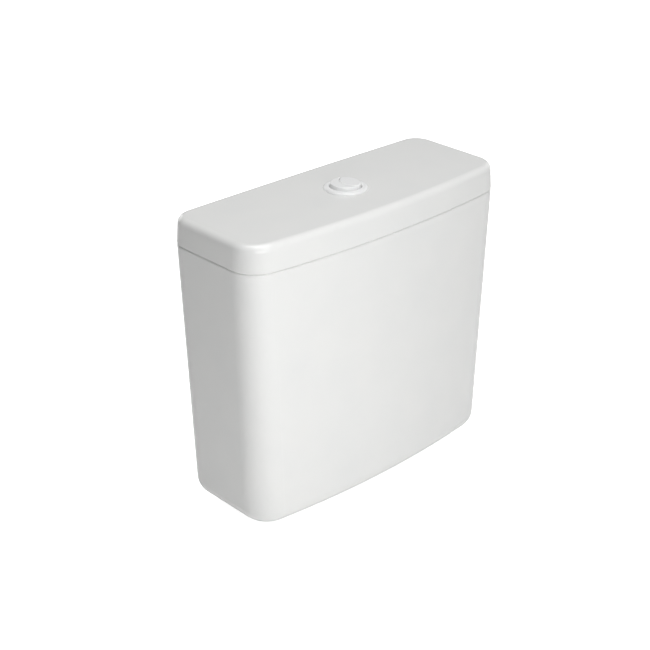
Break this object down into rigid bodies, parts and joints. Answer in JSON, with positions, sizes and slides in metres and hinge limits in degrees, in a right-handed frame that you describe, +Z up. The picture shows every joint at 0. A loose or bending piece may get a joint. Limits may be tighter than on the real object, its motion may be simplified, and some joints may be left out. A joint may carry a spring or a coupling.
{
  "type": "toilet cistern",
  "caption": "Close-coupled white china toilet cistern with a lift-off lid, a round split dual-flush button, and its flush valve and fill valve inside.",
  "frame": {"origin": "centre of the coupling bolt pattern, which is the outlet axis, on the foot plane of the tank", "axes": "+X to the right seen from the front, +Y towards the wall behind, +Z up"},
  "size_m": [0.3798, 0.1505, 0.3825],
  "materials": {
    "glazed_china": "glossy white glaze",
    "white_button_plastic": "glossy white moulding",
    "white_moulding": "satin moulding",
    "grey_moulding": "satin moulding",
    "blue_moulding": "satin moulding",
    "black_rubber": "matt moulded rubber",
    "steel": "bright stainless steel",
    "brass": "turned brass"
  },
  "bodies": {
    "cistern": {"tank": "glazed_china", "lever_pins": "steel", "lever_bracket": "white_moulding", "valve_housing": "white_moulding", "valve_base": "white_moulding", "half_flush_duct": "white_moulding", "tank_washer": "black_rubber", "valve_lock_nut": "white_moulding", "outlet_gasket": "black_rubber", "fill_valve_body": "white_moulding", "inlet_filter": "grey_moulding", "inlet_washer": "black_rubber", "inlet_lock_nut": "white_moulding", "fill_valve_head": "blue_moulding", "diaphragm": "black_rubber", "arm_pin": "steel", "refill_tube": "black_rubber", "refill_clip": "white_moulding", "coupling_bolts": "brass", "bolt_rubber_washers": "black_rubber", "bolt_steel_washers": "steel", "under_steel_washers": "steel", "bolt_hex_nuts": "brass"},
    "lid_set": {"lid": "glazed_china", "button_bezel": "white_button_plastic", "bezel_washer": "black_rubber", "bezel_nut": "white_moulding", "full_button_spring": "steel", "half_button_spring": "steel"},
    "full_button": {"full_flush_button": "white_button_plastic", "full_push_rod": "white_moulding", "full_rod_lock_nut": "grey_moulding"},
    "half_button": {"half_flush_button": "white_button_plastic", "half_push_rod": "white_moulding", "half_rod_lock_nut": "grey_moulding"},
    "full_lever": {"full_flush_lever": "blue_moulding"},
    "half_lever": {"half_flush_lever": "grey_moulding"},
    "flush_valve": {"overflow_tube": "white_moulding", "lift_hook": "blue_moulding", "seal_carrier": "white_moulding", "flush_seal": "black_rubber", "full_flush_float": "white_moulding", "full_float_clips": "blue_moulding"},
    "half_valve": {"half_lift_rod": "grey_moulding", "half_seal_carrier": "white_moulding", "half_flush_seal": "black_rubber", "half_flush_float": "white_moulding", "half_float_clips": "grey_moulding"},
    "float_cup": {"fill_float": "grey_moulding"},
    "float_arm": {"fill_arm": "white_moulding"},
    "plunger": {"shut_off_plunger": "grey_moulding"},
    "level_screw": {"level_rod": "white_moulding"}
  },
  "joints": [
    {"name": "lid_lift", "type": "slide", "parent": "cistern", "child": "lid_set", "axis": [0, 0, 1], "range_m": [0, 0.15]},
    {"name": "full_button_press", "type": "slide", "parent": "lid_set", "child": "full_button", "axis": [0, 0, -1], "range_m": [0, 0.008], "stiffness_N_per_m": 600, "springref_m": -0.01, "deforming": ["full_button_spring"]},
    {"name": "half_button_press", "type": "slide", "parent": "lid_set", "child": "half_button", "axis": [0, 0, -1], "range_m": [0, 0.008], "stiffness_N_per_m": 600, "springref_m": -0.01, "deforming": ["half_button_spring"]},
    {"name": "full_lever_swing", "type": "hinge", "parent": "cistern", "child": "full_lever", "pos_m": [0.024, 0, 0.258], "axis": [0, -1, 0], "range_deg": [0, 23]},
    {"name": "half_lever_swing", "type": "hinge", "parent": "cistern", "child": "half_lever", "pos_m": [-0.029, 0, 0.258], "axis": [0, 1, 0], "range_deg": [0, 23]},
    {"name": "valve_lift", "type": "slide", "parent": "cistern", "child": "flush_valve", "axis": [0, 0, 1], "range_m": [0, 0.0101]},
    {"name": "half_valve_lift", "type": "slide", "parent": "cistern", "child": "half_valve", "axis": [0, 0, 1], "range_m": [0, 0.0101]},
    {"name": "float_drop", "type": "slide", "parent": "cistern", "child": "float_cup", "axis": [0, 0, -1], "range_m": [0, 0.012]},
    {"name": "arm_swing", "type": "hinge", "parent": "cistern", "child": "float_arm", "pos_m": [-0.122, 0, 0.244], "axis": [0, 1, 0], "range_deg": [0, 23]},
    {"name": "plunger_lift", "type": "slide", "parent": "cistern", "child": "plunger", "axis": [0, 0, 1], "range_m": [0, 0.0019]},
    {"name": "level_screw_turn", "type": "hinge", "parent": "float_cup", "child": "level_screw", "pos_m": [-0.091, 0, 0.22], "axis": [0, 0, 1], "continuous": true}
  ],
  "couplings": [
    {"joint": "full_lever_swing", "follows": "full_button_press", "rad_per_m": 50},
    {"joint": "valve_lift", "follows": "full_button_press", "ratio": 1.25},
    {"joint": "half_lever_swing", "follows": "half_button_press", "rad_per_m": 50},
    {"joint": "half_valve_lift", "follows": "half_button_press", "ratio": 1.25},
    {"joint": "arm_swing", "follows": "float_drop", "rad_per_m": 33.333},
    {"joint": "plunger_lift", "follows": "float_drop", "ratio": 0.15}
  ]
}
